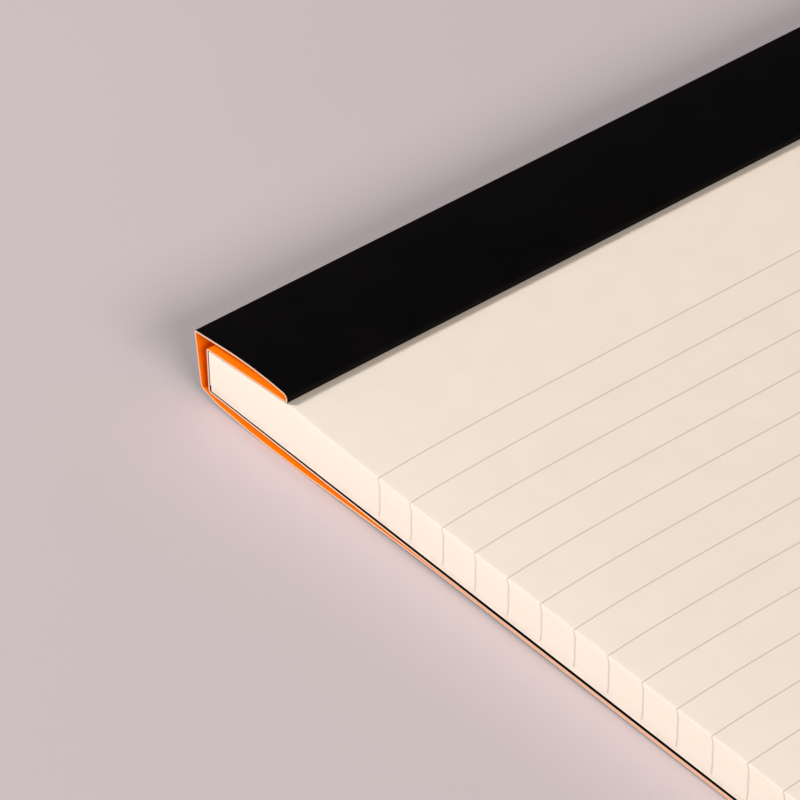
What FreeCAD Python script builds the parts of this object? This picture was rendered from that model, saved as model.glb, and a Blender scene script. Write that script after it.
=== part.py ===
import FreeCAD, Part
import math
import os

from FreeCAD import Vector

# A head-stapled writing pad with its card cover flipped open, folded back round the head and
# tucked under the pad. Millimetres. While the pad is being built, x runs across the sheets,
# y points out of their head edge (y = 0 is that edge, so the sheets lie at negative y) and
# z = 0 is the underside of the backing board. At the end the whole pad is laid on the table.

# Sheets and backing board
sheet_width = 148.0
sheet_length = 210.0
block_thickness = 7.8        # in the middle of the pad, where the sheets lie loosest
block_head_thickness = 6.2   # at the stapled head, where they are squeezed
block_strip_thickness = 7.6  # under the front edge of the strip
edge_droop = 0.95            # how much lower the top sheet is along the trimmed edges
droop_reach = 11.0           # how fast it recovers, away from those edges
board_thickness = 1.0

# Card of the cover, its creases and how it stands off the block
card = 0.38
crease_inside = 0.16         # inside radius of a hard crease
board_air = 0.35             # between the board and the back panel
spine_air = 0.35             # between the head of the sheets and the inner spine
strip_reach = 18.1           # the strip covers this much of the sheets

# Panel of the front cover, folded back over the strip
fold_rise = 1.26             # it leaves the strip's front edge upwards, by this much
fold_radius = 0.75
arch_rise = 0.93             # its bow above a straight line from fold to head
arch_from_head = 13.28
arch_radius = 60.0
head_rise = 1.77             # outer head crease above the inner one
head_stand_off = 2.75        # outer head crease beyond the inner one

# Rest of the front cover: down the outside of the spine and back under the pad
foot_stand_off = 1.95        # outer bottom crease beyond the inner one
foot_drop = 0.08             # outer bottom crease below the inner one
foot_radius = 0.7
shoulder_run = 3.9           # from that crease to the shoulder of the bow
shoulder_drop = 1.05
shoulder_radius = 8.0
bow_depth = 1.61             # lowest place of the bow below the back panel
bow_start = 10.3             # the bow rests on the table between these two places
bow_end = 21.0
bow_radius = 100.0
bow_closes = 43.0            # from here on the cover runs close under the back panel
closing_radius = 600.0
run_air = 0.2                # between back panel and cover where the bow closes
free_edge_air = 0.05         # and at the cover's free edge
cover_short = 1.0            # closed, the front cover ends this far from the foot

# Staples of flat wire, through strip, sheets, board and back panel
staple_wire = 0.5
staple_wire_width = 0.7
staple_crown = 12.0
staple_bend = 0.5
staple_clinch = 5.0
staple_from_head = 7.5
staple_spacing = 74.0
staple_play = 0.05


# Places that follow from the sizes
board_top = board_thickness
head_top = board_top + block_head_thickness
strip_top_of_sheets = board_top + block_strip_thickness
crown_top = board_top + block_thickness
strip_angle = math.atan((strip_top_of_sheets - head_top) / strip_reach)
back_middle = -board_air - card / 2
back_underside = -board_air - card
spine_middle = spine_air + card / 2
crease_radius = crease_inside + card / 2
lie_angle = math.atan(bow_depth / (sheet_length - (bow_start + bow_end) / 2))


def strip_middle_z(y):
    """Height of the middle of the strip's card, which lies on the squeezed sheets."""
    return head_top - y * math.tan(strip_angle) + card / 2 / math.cos(strip_angle)


def table_z(y):
    """Height of the table: it touches the foot of the back panel and the bow."""
    return back_underside - (y + sheet_length) * math.tan(lie_angle)


def point(y, z, x=0.0):
    return Vector(x, y, z)


# Card and wire alike are a flat strip, folded: straight runs with a bend at each corner
def bend_at(before, corner, after, radius):
    """Where the bend starts and ends, a place half way round, and what it saves in length."""
    back = (before - corner).normalize()
    ahead = (after - corner).normalize()
    turn = math.pi - back.getAngle(ahead)
    tangent = radius * math.tan(turn / 2)
    centre = corner + (back + ahead).normalize() * (radius / math.cos(turn / 2))
    half_way = centre + (corner - centre).normalize() * radius
    saved = 2 * tangent - radius * turn
    return corner + back * tangent, half_way, corner + ahead * tangent, saved


def path_length(places, radii):
    """Length along the strip through the places, with the bends' shortcuts taken off."""
    length = sum(a.distanceToPoint(b) for a, b in zip(places, places[1:]))
    for index, radius in enumerate(radii):
        length -= bend_at(*places[index:index + 3], radius)[3]
    return length


def strip_side(places, radii, shift):
    """Edges of one face of the strip, at a distance from its middle line."""
    def beside(place, start, end):
        way = (end - start).normalize()
        return place + point(-way.z, way.y) * shift

    edges = []
    last = beside(places[0], places[0], places[1])
    for index, radius in enumerate(radii):
        before, corner, after = places[index:index + 3]
        start, half_way, end, _ = bend_at(before, corner, after, radius)
        bend_start = beside(start, before, corner)
        bend_end = beside(end, corner, after)
        edges.append(Part.LineSegment(last, bend_start).toShape())
        edges.append(Part.Arc(bend_start, beside(half_way, start, end), bend_end).toShape())
        last = bend_end
    edges.append(Part.LineSegment(last, beside(places[-1], *places[-2:])).toShape())
    return edges


def ends_of(edges):
    return edges[0].Vertexes[0].Point, edges[-1].Vertexes[-1].Point


def folded_strip(places, radii, thickness, width):
    """The strip as one solid, its width along x and centred there."""
    left = strip_side(places, radii, thickness / 2)
    right = strip_side(places, radii, -thickness / 2)
    caps = [Part.LineSegment(a, b).toShape() for a, b in zip(ends_of(left), ends_of(right))]
    outline = Part.Wire(Part.__sortEdges__(left + right + caps))
    solid = Part.Face(outline).extrude(Vector(width, 0, 0))
    solid.translate(Vector(-width / 2, 0, 0))
    return solid


# Cover
def cover_places():
    """Corners of the card's middle line, from the back panel's foot to the free edge."""
    strip_front = point(-strip_reach, strip_middle_z(-strip_reach))
    back_foot = point(-sheet_length, back_middle)
    inner_foot = point(spine_middle, back_middle)
    inner_head = point(spine_middle, strip_middle_z(spine_middle))
    fold_top = strip_front + point(0, fold_rise)
    outer_head = inner_head + point(head_stand_off, head_rise)
    share = arch_from_head / (outer_head.y - fold_top.y)
    arch = outer_head + (fold_top - outer_head) * share + point(0, arch_rise)
    outer_foot = inner_foot + point(foot_stand_off, -foot_drop)
    shoulder = outer_foot - point(shoulder_run, shoulder_drop)
    half_card = card / 2 / math.cos(lie_angle)
    bow_places = [point(-y, table_z(-y) + half_card) for y in (bow_start, bow_end)]
    closing = point(-bow_closes, back_underside - run_air - card / 2)

    inner = [back_foot, inner_foot, inner_head]
    inner_radii = [crease_radius, crease_radius, crease_radius]
    front = [strip_front, fold_top, arch, outer_head, outer_foot, shoulder, *bow_places, closing]
    front_radii = [fold_radius, arch_radius, crease_radius, foot_radius, shoulder_radius,
                   bow_radius, bow_radius, closing_radius]
    front_length = sheet_length - strip_reach - cover_short
    free_edge = point(-sheet_length, back_underside - free_edge_air - card / 2)
    free_edge.y += path_length([*front, free_edge], front_radii) - front_length
    return [*inner, *front, free_edge], inner_radii + front_radii


# Sheets: squeezed at the head, crowned in the middle, a little lower along the trimmed edges
def sheets_side_z(y):
    """Top of the sheets half way across: level, and curving down to meet the strip's slope."""
    to_go = crown_top - strip_top_of_sheets
    radius = to_go / (1 - math.cos(strip_angle))
    behind_strip = -y - strip_reach
    from_level = radius * math.sin(strip_angle) - behind_strip
    if from_level <= 0:
        return crown_top
    return crown_top - radius + math.sqrt(radius ** 2 - from_level ** 2)


def droop(x, y):
    """How far the trimmed left, right and foot edges pull the top sheet down."""
    def near(distance):
        return math.exp(-distance / droop_reach)
    half = sheet_width / 2
    sides = (1 - near(half + x)) * (1 - near(half - x)) * (1 - near(sheet_length + y))
    pressed = near(-y - strip_reach)
    return edge_droop * (1 - sides) * (1 - pressed)


def spread(start, end, count):
    """Stations from start to end, closer together towards both ends."""
    shares = [(1 - math.cos(math.pi * index / count)) / 2 for index in range(count + 1)]
    return [start + (end - start) * share for share in shares]


def page_block():
    half = sheet_width / 2
    across = spread(-half, half, 18)
    along = spread(-strip_reach, -sheet_length, 22)
    crown = Part.BSplineSurface()
    crown.interpolate([[point(y, sheets_side_z(y) - droop(x, y), x) for y in along]
                       for x in across])
    crown_face = crown.toShape()

    def corners(x):
        z_foot = sheets_side_z(-sheet_length) - droop(x, -sheet_length)
        return [point(0, board_top, x), point(0, head_top, x),
                point(-strip_reach, strip_top_of_sheets, x),
                point(-sheet_length, z_foot, x), point(-sheet_length, board_top, x)]

    left, right = corners(-half), corners(half)
    foot_curve, left_curve, right_curve = (
        min(crown_face.Edges, key=lambda edge: edge.CenterOfMass.distanceToPoint(place))
        for place in ((left[3] + right[3]) / 2, (left[2] + left[3]) / 2,
                      (right[2] + right[3]) / 2))

    def side(places, curve):
        lines = [Part.LineSegment(places[i], places[j]).toShape()
                 for i, j in ((0, 1), (1, 2), (3, 4), (4, 0))]
        return Part.Face(Part.Wire(Part.__sortEdges__([*lines, curve])))

    def quad(first, second):
        return Part.Face(Part.makePolygon([left[first], left[second], right[second],
                                           right[first], left[first]]))

    foot_lines = [Part.LineSegment(a, b).toShape()
                  for a, b in ((left[3], left[4]), (left[4], right[4]), (right[4], right[3]))]
    foot = Part.Face(Part.Wire(Part.__sortEdges__([*foot_lines, foot_curve])))
    faces = [crown_face, side(left, left_curve), side(right, right_curve), foot,
             quad(0, 1), quad(1, 2), quad(4, 0)]
    shell = Part.Shell(faces)
    shell.sewShape()
    solid = Part.Solid(shell)
    if solid.Volume < 0:
        solid.reverse()
    return solid


def backing_board():
    corner = Vector(-sheet_width / 2, -sheet_length, 0)
    return Part.makeBox(sheet_width, sheet_length, board_thickness, corner)


# Staples
def staple(x_middle, play=0.0):
    """One staple, its clinched legs flat on the back panel; with play, the room it is in."""
    crown_z = strip_middle_z(-staple_from_head) + (card + staple_wire) / 2 / math.cos(strip_angle)
    clinch_z = back_underside - staple_wire / 2
    leg = (staple_crown - staple_wire) / 2
    tip = leg - staple_clinch
    places = [point(tip, clinch_z), point(leg, clinch_z), point(leg, crown_z),
              point(-leg, crown_z), point(-leg, clinch_z), point(-tip, clinch_z)]
    wire = folded_strip(places, [staple_bend] * 4, staple_wire + 2 * play,
                        staple_wire_width + 2 * play)
    wire.rotate(Vector(), Vector(0, 0, 1), 90)
    wire.translate(Vector(x_middle, -staple_from_head, 0))
    return wire


def build():
    staple_middles = {"staple_left": -staple_spacing / 2, "staple_right": staple_spacing / 2}
    nodes = {
        "page_block": page_block(),
        "backing_board": backing_board(),
        "cover": folded_strip(*cover_places(), card, sheet_width),
    }
    for middle in staple_middles.values():
        room = staple(middle, staple_play)
        nodes = {name: shape.cut(room) for name, shape in nodes.items()}
    for name, middle in staple_middles.items():
        nodes[name] = staple(middle)
    return nodes


def laid_on_table(nodes):
    """Tips the pad on to the table and centres it there: z = 0 is the table."""
    foot_edge = point(-sheet_length, back_underside)
    for shape in nodes.values():
        shape.rotate(foot_edge, Vector(1, 0, 0), math.degrees(lie_angle))
    box = FreeCAD.BoundBox()
    for shape in nodes.values():
        box.add(shape.optimalBoundingBox(False))
    for shape in nodes.values():
        shape.translate(Vector(0, -box.Center.y, -box.ZMin))
    return nodes


os.makedirs("parts", exist_ok=True)
for name, shape in laid_on_table(build()).items():
    solid = shape.Solids[0]
    assert shape.isValid() and len(shape.Solids) == 1, name
    solid.exportStep(f"parts/{name}.step")
    size = solid.optimalBoundingBox(False)
    print(f"{name}: {solid.Volume / 1000:.2f} cm3, z {size.ZMin:.2f} to {size.ZMax:.2f}, "
          f"y {size.YMin:.2f} to {size.YMax:.2f}")
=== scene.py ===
# %% [markdown]
# A stapled writing pad with its card cover flipped open
#
# The pad is a block of ruled sheets on a backing board. One long piece of coated card is its cover:
# it runs under the board, up over the stapled head as a strip, and on as the front cover, which is
# folded back over the strip, down the outside of the spine and under the pad. The solids of the
# model say where everything is. This lesson gives them paper, card, board and wire that look real.

# %% Open the frame
import bpy
import math
from mathutils import Matrix, Vector


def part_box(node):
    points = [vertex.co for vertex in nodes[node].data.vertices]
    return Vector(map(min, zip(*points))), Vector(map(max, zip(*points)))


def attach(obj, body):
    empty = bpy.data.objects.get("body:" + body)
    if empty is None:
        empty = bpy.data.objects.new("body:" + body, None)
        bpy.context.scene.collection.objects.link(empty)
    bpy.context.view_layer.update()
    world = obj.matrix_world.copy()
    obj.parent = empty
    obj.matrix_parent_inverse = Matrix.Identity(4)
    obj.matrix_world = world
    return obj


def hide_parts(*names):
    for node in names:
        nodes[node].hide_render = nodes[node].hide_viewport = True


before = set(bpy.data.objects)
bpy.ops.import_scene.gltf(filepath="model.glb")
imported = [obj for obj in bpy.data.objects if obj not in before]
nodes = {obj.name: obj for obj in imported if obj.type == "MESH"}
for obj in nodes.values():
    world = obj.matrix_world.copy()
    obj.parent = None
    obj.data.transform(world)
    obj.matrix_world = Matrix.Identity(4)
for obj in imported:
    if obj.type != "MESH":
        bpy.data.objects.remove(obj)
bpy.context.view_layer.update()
mm = 0.001
print("nodes in the frame:", sorted(nodes))

# %% [markdown]
# The sizes of the pad
#
# The pad is drawn lying straight: x runs across the sheets, y = 0 is their stapled head edge with
# the sheets at negative y, and z = 0 is the underside of the backing board. It is tipped on to the
# table at the end, because the cover bows under its head and lifts it a little.

# %% Sizes
sheet_width = 148.0
sheet_length = 210.0
board_thickness = 1.0
head_face = 0.31
head_top = 7.2
strip_top = 8.6
crown_top = 8.8
strip_reach = 18.1
edge_droop = 1.15
droop_reach = 11.0
card = 0.38
back_underside = -0.73
bow_depth = 1.61
bow_middle = 15.65
lie_angle = math.atan(bow_depth / (sheet_length - bow_middle))
half_width = sheet_width / 2

# %% [markdown]
# From the drawing to the table
#
# The foot edge of the back panel is the line that the whole pad turns about. The frame says where
# that line lies, so one matrix takes a finished mesh from the drawing to its place on the table.

# %% Lay a piece on the table
foot_line = Vector((0.0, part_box("cover")[0][1], 0.0))
tip = Matrix.Rotation(lie_angle, 4, "X")
to_foot = Matrix.Translation(Vector((0.0, sheet_length, -back_underside)) * mm)
laying = Matrix.Translation(foot_line) @ tip @ to_foot


def only(piece):
    """Make this piece the only selected one."""
    bpy.ops.object.select_all(action="DESELECT")
    piece.select_set(True)
    bpy.context.view_layer.objects.active = piece


def lay_on_table(piece):
    """Put the finished piece in place and leave its object at the origin."""
    only(piece)
    piece.matrix_world = laying
    bpy.ops.object.transform_apply(location=True, rotation=True, scale=True)


print("the pad is tipped by", round(math.degrees(lie_angle), 3), "degrees")

# %% [markdown]
# Picking vertices and edges by their place
#
# By hand one would click on them. In a script a test on the place does the same: everything is
# deselected first, and then what passes the test is selected.

# %% Select by place
def pick_vertices(piece, test):
    """Select the vertices whose place, in millimetres, passes the test."""
    bpy.ops.object.mode_set(mode="OBJECT")
    mesh = piece.data
    for face in mesh.polygons:
        face.select = False
    for edge in mesh.edges:
        edge.select = False
    count = 0
    for vertex in mesh.vertices:
        vertex.select = test(vertex.co / mm)
        count += vertex.select
    bpy.ops.object.mode_set(mode="EDIT")
    bpy.ops.mesh.select_mode(type="VERT")
    return count


def pick_edges(piece, test):
    """Select the edges whose two ends, in millimetres, pass the test."""
    bpy.ops.object.mode_set(mode="OBJECT")
    mesh = piece.data
    for face in mesh.polygons:
        face.select = False
    for vertex in mesh.vertices:
        vertex.select = False
    count = 0
    for edge in mesh.edges:
        first, second = (mesh.vertices[index].co / mm for index in edge.vertices)
        edge.select = test(first, second)
        count += edge.select
    bpy.ops.object.mode_set(mode="EDIT")
    bpy.ops.mesh.select_mode(type="EDGE")
    return count


def near(value, place, play=0.01):
    """Whether a value is at the place, give or take a little play."""
    return abs(value - place) < play


# %% [markdown]
# The sheets: a cube cut into rows
#
# About eighty ruled sheets are stapled at the head and trimmed on the other three sides. They
# could be eighty thin boxes, but nobody sees between them, so one block carries them all. It starts
# as a cube of the right size. Bisect cuts it into rows, closer together near the edges, where the
# top sheet curves most.

# %% Block of sheets
def spread(start, end, count):
    """Stations from start to end, closer together towards both ends."""
    shares = [(1 - math.cos(math.pi * index / count)) / 2 for index in range(count + 1)]
    return [start + (end - start) * share for share in shares]


rows = spread(-strip_reach, -sheet_length, 32)
columns = spread(-half_width, half_width, 26)

bpy.ops.object.select_all(action="DESELECT")
bpy.ops.mesh.primitive_cube_add(
    size=mm,
    location=(0, (head_face - sheet_length) / 2 * mm, (board_thickness + crown_top) / 2 * mm),
    scale=(sheet_width, sheet_length + head_face, crown_top - board_thickness),
)
sheets = bpy.context.object
sheets.name = "ruled_sheets"
bpy.ops.object.transform_apply(location=True, rotation=True, scale=True)
bpy.ops.object.mode_set(mode="EDIT")
for row in rows[:-1]:
    bpy.ops.mesh.select_all(action="SELECT")
    bpy.ops.mesh.bisect(plane_co=(0, row * mm, 0), plane_no=(0, 1, 0))
for column in columns[1:-1]:
    bpy.ops.mesh.select_all(action="SELECT")
    bpy.ops.mesh.bisect(plane_co=(column * mm, 0, 0), plane_no=(1, 0, 0))
bpy.ops.object.mode_set(mode="OBJECT")
print("block of sheets:", len(sheets.data.vertices), "vertices")

# %% [markdown]
# Squeezing the head
#
# The strip and the staples press the sheets together at the head, so the top sheet climbs from
# there, curves over and runs level. Each row of top vertices is moved down to its height.

# %% Side line of the top sheet
def side_line(y):
    """Height of the top sheet half way across."""
    if y > -strip_reach:
        return head_top - y * (strip_top - head_top) / strip_reach
    angle = math.atan((strip_top - head_top) / strip_reach)
    radius = (crown_top - strip_top) / (1 - math.cos(angle))
    from_level = radius * math.sin(angle) + y + strip_reach
    if from_level <= 0:
        return crown_top
    return crown_top - radius + math.sqrt(radius ** 2 - from_level ** 2)


for row in [head_face, *rows]:
    drop = side_line(row) - crown_top
    if drop < -0.001:
        pick_vertices(sheets, lambda place: near(place.y, row) and near(place.z, crown_top))
        bpy.ops.transform.translate(value=(0, 0, drop * mm))
bpy.ops.object.mode_set(mode="OBJECT")

# %% [markdown]
# Letting the trimmed edges droop
#
# Along the three trimmed edges the top sheets lie a little lower than in the middle. A vertex group
# says how much of the droop each vertex takes, as weight painting would, and a Displace modifier
# moves them by it.

# %% Droop of the edges
def droop_share(place):
    """1 at a trimmed edge, fading away from it, and nothing where the strip presses."""
    def fade(distance):
        return math.exp(-max(distance, 0.0) / droop_reach)
    inside = 1 - fade(half_width + place.x)
    inside *= 1 - fade(half_width - place.x)
    inside *= 1 - fade(sheet_length + place.y)
    return (1 - inside) * (1 - fade(-place.y - strip_reach))


group = sheets.vertex_groups.new(name="droop")
for vertex in sheets.data.vertices:
    place = vertex.co / mm
    if place.z > board_thickness + 1:
        group.add([vertex.index], droop_share(place), "REPLACE")
only(sheets)
displace = sheets.modifiers.new("droop", "DISPLACE")
displace.vertex_group = "droop"
displace.direction = "Z"
displace.mid_level = 0.0
displace.strength = -edge_droop * mm
bpy.ops.object.modifier_apply(modifier="droop")
sheets.vertex_groups.clear()

# %% [markdown]
# Softening the cut edges
#
# A guillotine leaves crisp edges, but the uppermost sheets always give a little. The edges round
# the top get a small bevel that catches the light, and so do the upright corners.

# %% Bevel of the trimmed edges
def on_side(place):
    """Whether the place is on one of the four cut faces of the block."""
    at_end = near(place.y, -sheet_length) or near(place.y, head_face)
    return near(abs(place.x), half_width) or at_end


def is_arris(first, second):
    """An edge round the top, or an upright corner."""
    above = min(first.z, second.z) > board_thickness + 1
    round_top = above and on_side(first) and on_side(second)
    same_side = near(first.x, second.x) and near(abs(first.x), half_width)
    at_end = near(first.y, -sheet_length) or near(first.y, head_face)
    same_end = near(first.y, second.y) and at_end
    upright = same_side and same_end
    return upright or (round_top and (same_side or same_end))


arris_width = 0.16
found = pick_edges(sheets, is_arris)
bpy.ops.mesh.bevel(offset=arris_width * mm, segments=3, affect="EDGES")
bpy.ops.object.mode_set(mode="OBJECT")
bpy.ops.object.shade_smooth_by_angle(angle=math.radians(40))
print("bevelled edges:", found, "faces now:", len(sheets.data.polygons))

# %% Sheets into place
lay_on_table(sheets)
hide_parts("page_block")
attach(sheets, "root")

# %% [markdown]
# The cover: one line of card, seen from the side
#
# The cover is a single piece of card with hard creases, a rolled front fold and a soft bow under
# the pad. It could be modelled from boxes, but a fold only looks right when the card keeps its
# thickness round it. So its middle line is drawn from one vertex, each corner is rounded with a
# vertex bevel, and the card gets its width and thickness afterwards.

# %% Corners of the card
corners = [
    (-210.0, -0.54, 0.0),
    (-156.0, -0.6, 3000.0),
    (-100.0, -0.76, 3000.0),
    (-52.0, -0.76, 3000.0),
    (0.54, -0.38, 0.35),
    (0.54, 7.349, 0.35),
    (-18.1, 8.791, 0.35),
    (-18.1, 10.051, 0.75),
    (-9.99, 10.627, 60.0),
    (3.29, 9.119, 0.35),
    (2.49, -0.62, 0.7),
    (-1.41, -1.67, 8.0),
    (-10.3, -2.194, 100.0),
    (-21.0, -2.106, 100.0),
    (-46.0, -1.19, 500.0),
    (-100.0, -1.15, 3000.0),
    (-156.29, -0.97, 0.0),
]
places = [Vector((-half_width, y, z)) for y, z, _ in corners]
radii = [radius for _, _, radius in corners]

bpy.ops.object.select_all(action="DESELECT")
bpy.ops.mesh.primitive_plane_add(size=0.1 * mm, location=places[0] * mm)
cover = bpy.context.object
cover.name = "card_cover"
bpy.ops.object.transform_apply(location=True, rotation=True, scale=True)
bpy.ops.object.mode_set(mode="EDIT")
bpy.ops.mesh.select_mode(type="VERT")
bpy.ops.mesh.select_all(action="SELECT")
bpy.ops.mesh.merge(type="CENTER")
for start, end in zip(places, places[1:]):
    bpy.ops.mesh.extrude_vertices_move(TRANSFORM_OT_translate={"value": (end - start) * mm})
bpy.ops.object.mode_set(mode="OBJECT")
print("line of the card:", len(cover.data.vertices), "corners")

# %% Round the corners
for before, corner, after, radius in zip(places, places[1:], places[2:], radii[1:]):
    turn = math.pi - (before - corner).angle(after - corner)
    pick_vertices(cover, lambda place: (place - corner).length < 0.01)
    bpy.ops.mesh.bevel(
        offset=radius * math.tan(turn / 2) * mm,
        segments=max(5, round(math.degrees(turn) / 7)),
        affect="VERTICES",
    )
bpy.ops.object.mode_set(mode="OBJECT")
print("line of the card with its bends:", len(cover.data.vertices), "vertices")

# %% [markdown]
# Measuring along the card
#
# Wear follows the creases, so the finish has to know how far along the card a place is. The length
# is counted from vertex to vertex and kept as an attribute, which extruding and thickening carry
# on to every new vertex.

# %% Length along the card
def walk(mesh, start):
    """Vertices of the line in their order, with the length so far."""
    joined = {vertex.index: [] for vertex in mesh.vertices}
    for edge in mesh.edges:
        first, second = edge.vertices
        joined[first].append(second)
        joined[second].append(first)
    here = min(joined, key=lambda index: (mesh.vertices[index].co / mm - start).length)
    seen = {here: 0.0}
    while True:
        onward = [index for index in joined[here] if index not in seen]
        if not onward:
            return seen
        step = (mesh.vertices[onward[0]].co - mesh.vertices[here].co).length / mm
        seen[onward[0]] = seen[here] + step
        here = onward[0]


lengths = walk(cover.data, places[0])
along = cover.data.attributes.new("along", "FLOAT", "POINT")
for index, length in lengths.items():
    along.data[index].value = length
hard = [places[4], places[5], places[6], places[9], places[10]]
crease_at = []
for corner in hard:
    nearest = min(lengths, key=lambda index: (cover.data.vertices[index].co / mm - corner).length)
    crease_at.append(round(lengths[nearest], 2))
print("length of the card:", round(max(lengths.values()), 1), "creases at", crease_at)

# %% [markdown]
# Width and thickness
#
# Extruding the line gives a sheet with no thickness. Solidify gives it the card's thickness evenly
# on both sides and puts other materials on the far side and on the cut edges: the card is black
# inside, orange outside and pale where it is cut.

# %% Card with two faces
pick_vertices(cover, lambda place: True)
bpy.ops.mesh.select_mode(type="EDGE")
bpy.ops.mesh.select_all(action="SELECT")
bpy.ops.mesh.extrude_edges_move(TRANSFORM_OT_translate={"value": (sheet_width * mm, 0, 0)})
cut_shares = (0.02, 0.1, 0.3, 0.5, 0.7, 0.9, 0.98)
for share in cut_shares:
    bpy.ops.mesh.select_all(action="SELECT")
    cut = (share - 0.5) * sheet_width * mm
    bpy.ops.mesh.bisect(plane_co=(cut, 0, 0), plane_no=(1, 0, 0))
bpy.ops.mesh.select_all(action="SELECT")
bpy.ops.mesh.normals_make_consistent(inside=False)
bpy.ops.object.mode_set(mode="OBJECT")
highest = max(cover.data.polygons, key=lambda face: face.center.z)
print("the highest face points", tuple(round(value, 2) for value in highest.normal))
if highest.normal.z > 0:
    bpy.ops.object.mode_set(mode="EDIT")
    bpy.ops.mesh.flip_normals()
    bpy.ops.object.mode_set(mode="OBJECT")

count_before = len(cover.data.vertices)
for _ in ("outside", "inside", "cut"):
    cover.data.materials.append(None)
only(cover)
solidify = cover.modifiers.new("card", "SOLIDIFY")
solidify.thickness = card * mm
solidify.offset = 0.0
solidify.use_even_offset = True
solidify.material_offset = 1
solidify.material_offset_rim = 2
bpy.ops.object.modifier_apply(modifier="card")
through = cover.data.attributes.new("through", "FLOAT", "POINT")
for index in range(len(cover.data.vertices)):
    through.data[index].value = 0.0 if index < count_before else 1.0
bpy.ops.object.shade_smooth_by_angle(angle=math.radians(30))

lowest = min(cover.data.polygons, key=lambda face: face.center.z)
print("cover faces:", len(cover.data.polygons), "lowest face has material", lowest.material_index)
print("its normal points", tuple(round(value, 2) for value in lowest.normal))

# %% Cover into place
lay_on_table(cover)
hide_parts("cover")
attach(cover, "root")

# %% [markdown]
# Building materials from nodes
#
# Each finish is made of patterns that are worked out from the place on the object, so nothing is
# painted or photographed. Three short helpers keep the cells readable: one adds a node, one joins
# two sockets, and one does sums.

# %% Helpers for nodes
def add(tree, kind, name=None, **settings):
    """Add a node and set its properties."""
    node = tree.nodes.new(kind)
    if name:
        node.label = name
    for key, value in settings.items():
        setattr(node, key, value)
    return node


def join(tree, output, target):
    """Join a socket to an input, or set the input to a plain value."""
    if isinstance(output, bpy.types.NodeSocket):
        tree.links.new(output, target)
    else:
        target.default_value = output


def sums(tree, operation, *values):
    """A Math node."""
    node = add(tree, "ShaderNodeMath", operation=operation)
    for value, target in zip(values, node.inputs):
        join(tree, value, target)
    return node.outputs[0]


def ease(tree, value, low, high, start=0.0, end=1.0):
    """A smooth step from start to end while the value goes from low to high."""
    node = add(tree, "ShaderNodeMapRange", interpolation_type="SMOOTHSTEP")
    join(tree, value, node.inputs["Value"])
    join(tree, low, node.inputs["From Min"])
    join(tree, high, node.inputs["From Max"])
    join(tree, start, node.inputs["To Min"])
    join(tree, end, node.inputs["To Max"])
    return node.outputs["Result"]


def blend(tree, share, first, second):
    """Mix two colours."""
    node = add(tree, "ShaderNodeMix", data_type="RGBA")
    join(tree, share, node.inputs[0])
    join(tree, first, node.inputs[6])
    join(tree, second, node.inputs[7])
    return node.outputs[2]


def paint(red, green, blue):
    """A colour as a screen shows it, 0 to 255, in the light values that shaders use."""
    def light(value):
        share = value / 255
        if share <= 0.04045:
            return share / 12.92
        return ((share + 0.055) / 1.055) ** 2.4
    return (light(red), light(green), light(blue), 1.0)


def new_group(name, inputs, outputs):
    """A node group with its sockets, and its first and last nodes."""
    tree = bpy.data.node_groups.new(name, "ShaderNodeTree")
    for socket_name, kind, value in inputs:
        socket = tree.interface.new_socket(socket_name, in_out="INPUT", socket_type=kind)
        if value is not None:
            socket.default_value = value
    for socket_name, kind in outputs:
        tree.interface.new_socket(socket_name, in_out="OUTPUT", socket_type=kind)
    return tree, tree.nodes.new("NodeGroupInput"), tree.nodes.new("NodeGroupOutput")


def place_group(tree, group_tree, **values):
    """Put a group into a material and set or join its inputs."""
    node = tree.nodes.new("ShaderNodeGroup")
    node.node_tree = group_tree
    for key, value in values.items():
        join(tree, value, node.inputs[key])
    return node


def new_material(name):
    """A material with its shader, ready for nodes."""
    material = bpy.data.materials.new(name)
    material.use_nodes = True
    shader = material.node_tree.nodes["Principled BSDF"]
    return material, material.node_tree, shader


print("helpers ready")

# %% [markdown]
# Fibres
#
# Paper, card and board are all felted from fibres. Up close they show a cloudy formation of a few
# millimetres and a fine tooth of a fraction of one. One group makes both, and each material sets
# how coarse and how strong they are.

# %% Group: fibres
FLOAT = "NodeSocketFloat"
VECTOR = "NodeSocketVector"

fibres, start, end = new_group(
    "fibres",
    [("Vector", VECTOR, None), ("Cloud Size", FLOAT, 4.0), ("Tooth Size", FLOAT, 0.25)],
    [("Cloud", FLOAT), ("Tooth", FLOAT)],
)
cloud_scale = sums(fibres, "DIVIDE", 1.0, start.outputs["Cloud Size"])
cloud = add(fibres, "ShaderNodeTexNoise")
join(fibres, start.outputs["Vector"], cloud.inputs["Vector"])
join(fibres, cloud_scale, cloud.inputs["Scale"])
cloud.inputs["Detail"].default_value = 3.0
tooth_scale = sums(fibres, "DIVIDE", 1.0, start.outputs["Tooth Size"])
tooth = add(fibres, "ShaderNodeTexNoise")
join(fibres, start.outputs["Vector"], tooth.inputs["Vector"])
join(fibres, tooth_scale, tooth.inputs["Scale"])
tooth.inputs["Detail"].default_value = 2.0
join(fibres, cloud.outputs["Fac"], end.inputs["Cloud"])
join(fibres, tooth.outputs["Fac"], end.inputs["Tooth"])

# %% [markdown]
# Millimetres of the pad
#
# The ruled lines belong to the pad and not to the table, so a Mapping node turns the place on the
# object back into the drawing's millimetres. Every material of the pad starts from it.

# %% The pad's own millimetres
unlaying = laying.inverted()


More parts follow.
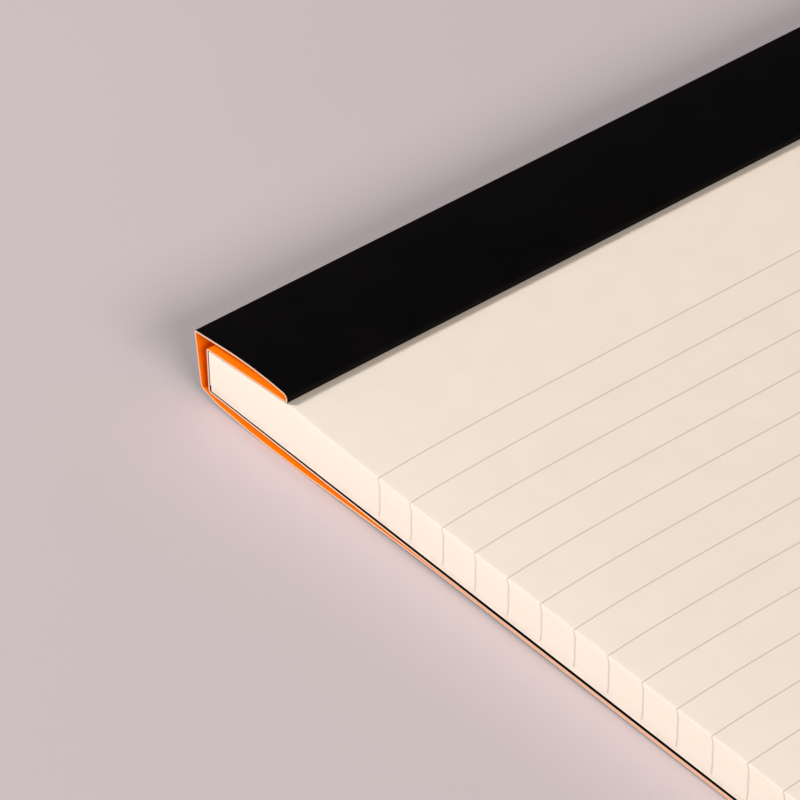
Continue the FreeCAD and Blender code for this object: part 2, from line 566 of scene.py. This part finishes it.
def pad_millimetres(tree):
    """Place on the pad, in the drawing's millimetres."""
    source = add(tree, "ShaderNodeTexCoord")
    mapping = add(tree, "ShaderNodeMapping", "pad millimetres", vector_type="POINT")
    mapping.inputs["Location"].default_value = unlaying.to_translation() / mm
    mapping.inputs["Rotation"].default_value = unlaying.to_euler()
    mapping.inputs["Scale"].default_value = (1 / mm, 1 / mm, 1 / mm)
    join(tree, source.outputs["Object"], mapping.inputs["Vector"])
    return mapping.outputs["Vector"]


check = unlaying @ foot_line
print("the foot line is at", tuple(round(value / mm, 2) for value in check), "in the drawing")

# %% [markdown]
# Ruled ivory paper
#
# The sheets are ivory writing paper with thin grey-brown lines, 7 mm apart, printed out to both
# side edges. There each line is cut through, and the ends of all of them, one sheet under the
# other, draw a faint wavy mark down the side of the block, because no two sheets are printed or
# cut quite alike.

# %% Ruled paper
first_line = -38.7
line_pitch = 7.0
line_count = 24
line_width = 0.2

paper, tree, shader = new_material("ruled_ivory_paper")
place = pad_millimetres(tree)
axes = add(tree, "ShaderNodeSeparateXYZ")
join(tree, place, axes.inputs[0])
x, y, z = axes.outputs
facing = add(tree, "ShaderNodeSeparateXYZ")
surface = add(tree, "ShaderNodeNewGeometry")
join(tree, surface.outputs["Normal"], facing.inputs[0])
sideways = sums(tree, "ABSOLUTE", facing.outputs["X"])
upward = facing.outputs["Z"]

# %% [markdown]
# Where the ends of the lines drift
#
# A ramp says how far each sheet's line is off along the side, from the top of the block to its
# bottom. A grey of one half means that it is in its place. Only the cut side faces use the drift.

# %% Drift of the line ends
depth = ease(tree, z, crown_top - edge_droop, board_thickness)
depth.node.interpolation_type = "LINEAR"
drift = add(tree, "ShaderNodeValToRGB", "drift of the line ends")
drift_stops = [(0.0, 0.12), (0.08, -0.14), (0.25, -0.34), (0.5, -0.12), (0.75, -0.24), (1.0, 0.12)]
ramp = drift.color_ramp
ramp.interpolation = "B_SPLINE"
for index, (position, offset) in enumerate(drift_stops):
    stop = ramp.elements[index] if index < 2 else ramp.elements.new(position)
    stop.position = position
    level = 0.5 + offset
    stop.color = (level, level, level, 1.0)
join(tree, depth, drift.inputs[0])
drift_mm = sums(tree, "SUBTRACT", drift.outputs["Color"], 0.5)
on_side_face = sums(tree, "GREATER_THAN", sideways, 0.6)
line_drift = sums(tree, "MULTIPLY", drift_mm, on_side_face)
print("the ramp has", len(ramp.elements), "stops")

# %% [markdown]
# Lines and marks
#
# The distance to the nearest ruled line is worked out in millimetres. On the top sheet it gives a
# thin crisp line. On the cut sides it gives a wider, softer mark, darker on some sheets.

# %% Lines and marks
from_first = sums(tree, "SUBTRACT", first_line, sums(tree, "SUBTRACT", y, line_drift))
in_lines = sums(tree, "DIVIDE", from_first, line_pitch)
nearest_line = sums(tree, "ROUND", in_lines)
to_line = sums(tree, "ABSOLUTE", sums(tree, "SUBTRACT", in_lines, nearest_line))
to_line_mm = sums(tree, "MULTIPLY", to_line, line_pitch)
is_first = sums(tree, "GREATER_THAN", nearest_line, -0.5)
is_last = sums(tree, "LESS_THAN", nearest_line, line_count - 0.5)
is_ruled = sums(tree, "MULTIPLY", is_first, is_last)
on_line = ease(tree, to_line_mm, line_width * 0.35, line_width * 0.65, 1.0, 0.0)
top_face = sums(tree, "GREATER_THAN", upward, 0.35)
line_ink = sums(tree, "MULTIPLY", sums(tree, "MULTIPLY", on_line, is_ruled), top_face)

on_mark = ease(tree, to_line_mm, 0.06, 0.27, 1.0, 0.0)
sheet_noise = add(tree, "ShaderNodeTexNoise", "one sheet to the next", noise_dimensions="1D")
join(tree, z, sheet_noise.inputs["W"])
sheet_noise.inputs["Scale"].default_value = 6.0
mark_strength = ease(tree, sheet_noise.outputs["Fac"], 0.3, 0.7, 0.5, 0.75)
mark = sums(tree, "MULTIPLY", sums(tree, "MULTIPLY", on_mark, is_ruled), on_side_face)
mark_ink = sums(tree, "MULTIPLY", mark, mark_strength)

print("lines from", first_line, "to", first_line - line_pitch * (line_count - 1))

# %% [markdown]
# Edges of the sheets
#
# On the cut faces every sheet is a line a tenth of a millimetre high. Noise that is squashed along
# z gives those layers, a little lighter and darker, with a few sheets that stand back. The cut faces
# as a whole are also painted a shade lighter than the top sheet: painted light from the left.

# %% Paper colour, layers and tooth
grain = place_group(tree, fibres, Vector=place, **{"Cloud Size": 5.0, "Tooth Size": 0.22})
squash = add(tree, "ShaderNodeMapping", "layers")
squash.inputs["Scale"].default_value = (0.02, 0.02, 9.0)
join(tree, place, squash.inputs["Vector"])
layers = add(tree, "ShaderNodeTexNoise", "layers")
join(tree, squash.outputs["Vector"], layers.inputs["Vector"])
layers.inputs["Scale"].default_value = 1.0
layers.inputs["Detail"].default_value = 3.0
on_cut_face = ease(tree, upward, 0.35, 0.6, 1.0, 0.0)

ivory = paint(242, 227, 212)
ivory_cloudy = paint(240, 225, 210)
# painted light: both cut-face colours are a shade lighter than the ivory of the top sheet, for the
# light from the left
edge_light = paint(248, 235, 220)
edge_dark = paint(244, 230, 214)
line_colour = paint(200, 189, 176)
mark_colour = paint(198, 184, 172)
cloud_share = ease(tree, grain.outputs["Cloud"], 0.35, 0.65)
sheet_colour = blend(tree, cloud_share, ivory_cloudy, ivory)
layer_share = ease(tree, layers.outputs["Fac"], 0.3, 0.6)
cut_face_colour_with_painted_light = blend(tree, layer_share, edge_dark, edge_light)
colour = blend(tree, on_cut_face, sheet_colour, cut_face_colour_with_painted_light)
colour = blend(tree, line_ink, colour, line_colour)
colour = blend(tree, mark_ink, colour, mark_colour)
join(tree, colour, shader.inputs["Base Color"])

layer_height = sums(tree, "MULTIPLY", layers.outputs["Fac"], on_cut_face)
tooth_height = sums(tree, "MULTIPLY", grain.outputs["Tooth"], 0.35)
height = sums(tree, "ADD", layer_height, tooth_height)
bump = add(tree, "ShaderNodeBump")
bump.inputs["Strength"].default_value = 0.35
bump.inputs["Distance"].default_value = 0.03 * mm
join(tree, height, bump.inputs["Height"])
join(tree, bump.outputs["Normal"], shader.inputs["Normal"])
roughness = ease(tree, grain.outputs["Tooth"], 0.3, 0.7, 0.78, 0.9)
join(tree, roughness, shader.inputs["Roughness"])
shader.inputs["Specular IOR Level"].default_value = 0.25
sheets.data.materials.clear()
sheets.data.materials.append(paper)

# %% [markdown]
# Wear of a crease
#
# Where coated card is creased, the coat stretches and crazes, and the pale core shows through in
# specks. One group turns the distance from the creases into such specks. Both faces use it.

# %% Group: crease wear
crease_wear, start, end = new_group(
    "crease_wear",
    [("Along", FLOAT, 0.0), ("Vector", VECTOR, None), ("Reach", FLOAT, 0.5), ("Amount", FLOAT, 0.5)],
    [("Wear", FLOAT)],
)
closest = 1000.0
for crease in crease_at:
    off = sums(crease_wear, "ABSOLUTE", sums(crease_wear, "SUBTRACT", start.outputs["Along"], crease))
    closest = sums(crease_wear, "MINIMUM", off, closest)
inside_reach = ease(crease_wear, closest, 0.0, start.outputs["Reach"], 1.0, 0.0)
specks = add(crease_wear, "ShaderNodeTexNoise")
join(crease_wear, start.outputs["Vector"], specks.inputs["Vector"])
specks.inputs["Scale"].default_value = 2.6
specks.inputs["Detail"].default_value = 4.0
lowered = sums(crease_wear, "MULTIPLY", start.outputs["Amount"], 0.35)
threshold = sums(crease_wear, "SUBTRACT", 0.82, lowered)
full_speck = sums(crease_wear, "ADD", threshold, 0.1)
speck_mask = ease(crease_wear, specks.outputs["Fac"], threshold, full_speck)
specks_near_crease = sums(crease_wear, "MULTIPLY", speck_mask, inside_reach)
join(crease_wear, specks_near_crease, end.inputs["Wear"])
print("creases that wear:", len(crease_at))

# %% [markdown]
# Black inside of the card
#
# The inside is printed deep black under a satin lacquer. It reflects its surroundings softly, and
# the card's tooth shows through the lacquer as a faint unevenness.

# %% Materials of the card
def length_along(tree):
    """The attribute that was measured along the card."""
    node = add(tree, "ShaderNodeAttribute", attribute_name="along")
    return node.outputs["Fac"]


def coated_card(name, clean, cloudy, worn, roughness_low, roughness_high, wear_amount):
    """A printed and lacquered face of the card."""
    material, tree, shader = new_material(name)
    place = pad_millimetres(tree)
    grain = place_group(tree, fibres, Vector=place, **{"Cloud Size": 9.0, "Tooth Size": 0.35})
    wear = place_group(
        tree, crease_wear, Along=length_along(tree), Vector=place, Reach=0.45, Amount=wear_amount)
    cloud_share = ease(tree, grain.outputs["Cloud"], 0.3, 0.7)
    colour = blend(tree, cloud_share, clean, cloudy)
    colour = blend(tree, wear.outputs["Wear"], colour, worn)
    join(tree, colour, shader.inputs["Base Color"])
    satin = ease(tree, grain.outputs["Cloud"], 0.3, 0.7, roughness_low, roughness_high)
    dulled = sums(tree, "ADD", satin, sums(tree, "MULTIPLY", wear.outputs["Wear"], 0.3))
    join(tree, dulled, shader.inputs["Roughness"])
    bump = add(tree, "ShaderNodeBump")
    bump.inputs["Strength"].default_value = 0.12
    bump.inputs["Distance"].default_value = 0.02 * mm
    join(tree, grain.outputs["Tooth"], bump.inputs["Height"])
    join(tree, bump.outputs["Normal"], shader.inputs["Normal"])
    return material, shader


black, shader = coated_card(
    "black_lacquered_card", paint(9, 8, 8), paint(11, 9, 10), paint(52, 44, 40), 0.33, 0.36, 0.35)
shader.inputs["Specular IOR Level"].default_value = 0.05
orange, shader = coated_card(
    "orange_lacquered_card", paint(255, 138, 8), paint(255, 132, 5), paint(252, 196, 140),
    0.34, 0.42, 0.45)
shader.inputs["Specular IOR Level"].default_value = 0.2

# %% [markdown]
# Cut edge of the card
#
# The core of the card is pale and felted. Seen end on, it lies between the two printed coats, each
# a thin coloured line. The second attribute runs from 0 at the orange face to 1 at the black one.

# %% Cut edge
cut_edge, tree, shader = new_material("cut_edge_of_card")
place = pad_millimetres(tree)
grain = place_group(tree, fibres, Vector=place, **{"Cloud Size": 2.0, "Tooth Size": 0.12})
across_card = add(tree, "ShaderNodeAttribute", attribute_name="through").outputs["Fac"]
ragged = sums(tree, "MULTIPLY", sums(tree, "SUBTRACT", grain.outputs["Tooth"], 0.5), 0.12)
across_ragged = sums(tree, "ADD", across_card, ragged)
core = blend(tree, grain.outputs["Cloud"], paint(238, 201, 176), paint(230, 189, 162))
orange_coat = ease(tree, across_ragged, 0.04, 0.24, 1.0, 0.0)
black_coat = ease(tree, across_ragged, 0.82, 0.96, 0.0, 1.0)
colour = blend(tree, black_coat, core, paint(30, 24, 22))
colour = blend(tree, orange_coat, colour, paint(250, 150, 60))
join(tree, colour, shader.inputs["Base Color"])
bump = add(tree, "ShaderNodeBump")
bump.inputs["Strength"].default_value = 0.3
bump.inputs["Distance"].default_value = 0.02 * mm
join(tree, grain.outputs["Tooth"], bump.inputs["Height"])
join(tree, bump.outputs["Normal"], shader.inputs["Normal"])
join(tree, ease(tree, grain.outputs["Tooth"], 0.3, 0.7, 0.75, 0.9), shader.inputs["Roughness"])

for index, material in enumerate((orange, black, cut_edge)):
    cover.data.materials[index] = material

# %% [markdown]
# Backing board
#
# The board is unprinted grey-white board, cut with the sheets. Its solid is right as it is, so it
# keeps its mesh and only gets a finish: coarser fibres than the paper and layers along its edge.

# %% Board
board, tree, shader = new_material("backing_board")
place = pad_millimetres(tree)
grain = place_group(tree, fibres, Vector=place, **{"Cloud Size": 3.0, "Tooth Size": 0.3})
squash = add(tree, "ShaderNodeMapping", "plies")
squash.inputs["Scale"].default_value = (0.1, 0.1, 5.0)
join(tree, place, squash.inputs["Vector"])
plies = add(tree, "ShaderNodeTexNoise", "plies")
join(tree, squash.outputs["Vector"], plies.inputs["Vector"])
plies.inputs["Scale"].default_value = 1.0
cloud_share = ease(tree, grain.outputs["Cloud"], 0.3, 0.7)
colour = blend(tree, cloud_share, paint(240, 226, 212), paint(248, 236, 222))
ply_share = ease(tree, plies.outputs["Fac"], 0.35, 0.65)
colour = blend(tree, sums(tree, "MULTIPLY", ply_share, 0.25), colour, paint(225, 208, 192))
join(tree, colour, shader.inputs["Base Color"])
bump = add(tree, "ShaderNodeBump")
bump.inputs["Strength"].default_value = 0.3
bump.inputs["Distance"].default_value = 0.04 * mm
join(tree, sums(tree, "ADD", grain.outputs["Tooth"], plies.outputs["Fac"]), bump.inputs["Height"])
join(tree, bump.outputs["Normal"], shader.inputs["Normal"])
join(tree, ease(tree, grain.outputs["Tooth"], 0.3, 0.7, 0.8, 0.92), shader.inputs["Roughness"])

# %% [markdown]
# Staple wire
#
# The two staples are flat galvanised wire, drawn through a die, so fine lines run along them. They
# sit under the folded-back cover and show only when the pad is taken apart.

# %% Wire
steel, tree, shader = new_material("galvanised_wire")
place = pad_millimetres(tree)
spangle = add(tree, "ShaderNodeTexNoise", "zinc")
join(tree, place, spangle.inputs["Vector"])
spangle.inputs["Scale"].default_value = 1.5
squash = add(tree, "ShaderNodeMapping", "drawn lines")
squash.inputs["Scale"].default_value = (0.3, 14.0, 14.0)
join(tree, place, squash.inputs["Vector"])
drawn = add(tree, "ShaderNodeTexNoise", "drawn lines")
join(tree, squash.outputs["Vector"], drawn.inputs["Vector"])
drawn.inputs["Scale"].default_value = 1.0
spangle_share = ease(tree, spangle.outputs["Fac"], 0.3, 0.7)
colour = blend(tree, spangle_share, paint(178, 180, 184), paint(204, 206, 208))
join(tree, colour, shader.inputs["Base Color"])
shader.inputs["Metallic"].default_value = 1.0
join(tree, ease(tree, drawn.outputs["Fac"], 0.3, 0.7, 0.25, 0.42), shader.inputs["Roughness"])
bump = add(tree, "ShaderNodeBump")
bump.inputs["Strength"].default_value = 0.2
bump.inputs["Distance"].default_value = 0.02 * mm
join(tree, drawn.outputs["Fac"], bump.inputs["Height"])
join(tree, bump.outputs["Normal"], shader.inputs["Normal"])


def finish_node(name, material):
    """Give a solid of the frame its finish."""
    piece = nodes[name]
    if not piece.material_slots:
        piece.data.materials.append(material)
    for slot in piece.material_slots:
        slot.material = material


finish_node("backing_board", board)
finish_node("staple_left", steel)
finish_node("staple_right", steel)

# %% [markdown]
# Table
#
# The pad lies on a smooth, pale, slightly rosy table top with no edge in sight. It gets a very
# faint cloudiness, so that it is a surface and not a void.

# %% Table top
bpy.ops.object.select_all(action="DESELECT")
table_size = 40.0
bpy.ops.mesh.primitive_plane_add(size=table_size, location=(0, 0, 0))
table = bpy.context.object
table.name = "table_top"
rosy, tree, shader = new_material("rosy_table")
source = add(tree, "ShaderNodeTexCoord")
mottle = add(tree, "ShaderNodeTexNoise")
join(tree, source.outputs["Object"], mottle.inputs["Vector"])
mottle.inputs["Scale"].default_value = 6.0
mottle_share = ease(tree, mottle.outputs["Fac"], 0.3, 0.7)
colour = blend(tree, mottle_share, paint(205, 191, 193), paint(202, 189, 191))
join(tree, colour, shader.inputs["Base Color"])
shader.inputs["Roughness"].default_value = 0.85
shader.inputs["Specular IOR Level"].default_value = 0.2
table.data.materials.append(rosy)

# %% [markdown]
# Light
#
# Four soft lamps do the work. The key lamp stands beyond the head, to the left. It shines into the
# open end of the folds and throws the narrow shadow in front of the strip. A broad one from the foot
# throws the soft shadow beyond the head. Two large fills light the cut sides of the block, and the
# lacquer doesn't mirror them. Each share says how bright that lamp alone makes a white card that
# faces it.

# %% Lamps
aim = Vector((-20.0, 0.0, 5.0)) * mm


def soft_lamp(name, bearing, height, share, wide, tall, distance, colour=(1.0, 1.0, 1.0)):
    """A rectangular lamp. Bearing 0 is beyond the head, 90 is to the right of the pad."""
    turn = math.radians(bearing)
    rise = math.radians(height)
    level = math.cos(rise)
    towards = Vector((math.sin(turn) * level, math.cos(turn) * level, math.sin(rise)))
    data = bpy.data.lights.new(name, "AREA")
    data.shape = "RECTANGLE"
    data.size = wide
    data.size_y = tall
    data.energy = share * math.pi ** 2 * distance ** 2
    data.color = colour
    lamp = bpy.data.objects.new(name, data)
    bpy.context.collection.objects.link(lamp)
    lamp.location = aim + towards * distance
    lamp.rotation_euler = (-towards).to_track_quat("-Z", "Y").to_euler()
    return lamp


soft_lamp("lamp_key", -39, 38, 0.73, 0.35, 0.35, 1.5)
soft_lamp("lamp_front", 192, 29, 0.81, 1.6, 0.9, 3.0, colour=(1.03, 1.0, 0.95))
left_fill = soft_lamp("lamp_left", -74, 15, 0.24, 2.0, 1.0, 2.4)
right_fill = soft_lamp("lamp_right", 98, 16, 0.10, 2.4, 1.2, 3.0)
for fill in (left_fill, right_fill):
    fill.visible_glossy = False
world = bpy.data.worlds.new("room")
bpy.context.scene.world = world
world.use_nodes = True
backdrop = world.node_tree.nodes["Background"]
backdrop.inputs["Color"].default_value = (1.0, 0.97, 0.95, 1.0)
backdrop.inputs["Strength"].default_value = 0.05
print("lamps:", sorted(lamp.name for lamp in bpy.data.lights))

# %% [markdown]
# Camera
#
# The photograph is matched with a long lens from the front left, about 80 cm away. The place and
# the turn of the camera were worked out on the drawing from the ruled lines, taken as 7 mm apart,
# so the camera is set up there and laid on the table like the pad.

# %% Camera
camera_data = bpy.data.cameras.new("camera")
camera = bpy.data.objects.new("camera", camera_data)
bpy.context.collection.objects.link(camera)
bearing = math.radians(37.89)
dip = math.radians(38.47)
roll = math.radians(-1.67)
level = math.cos(dip)
forward = Vector((math.sin(bearing) * level, math.cos(bearing) * level, -math.sin(dip)))
level_right = Vector((math.cos(bearing), -math.sin(bearing), 0.0))
level_up = level_right.cross(forward)
right = level_right * math.cos(roll) + level_up * math.sin(roll)
up = right.cross(forward)
turn = Matrix((right, up, -forward)).transposed().to_4x4()
stand = Matrix.Translation(Vector((-438.98, -513.16, 497.27)) * mm)
camera.matrix_world = laying @ stand @ turn
camera_data.sensor_width = 36.0
camera_data.lens = 250.3
camera_data.clip_start = 0.01
camera_data.clip_end = 20.0
bpy.context.scene.camera = camera
bpy.context.scene.view_settings.view_transform = "Standard"
print("camera at", tuple(round(value / mm, 1) for value in camera.matrix_world.translation))
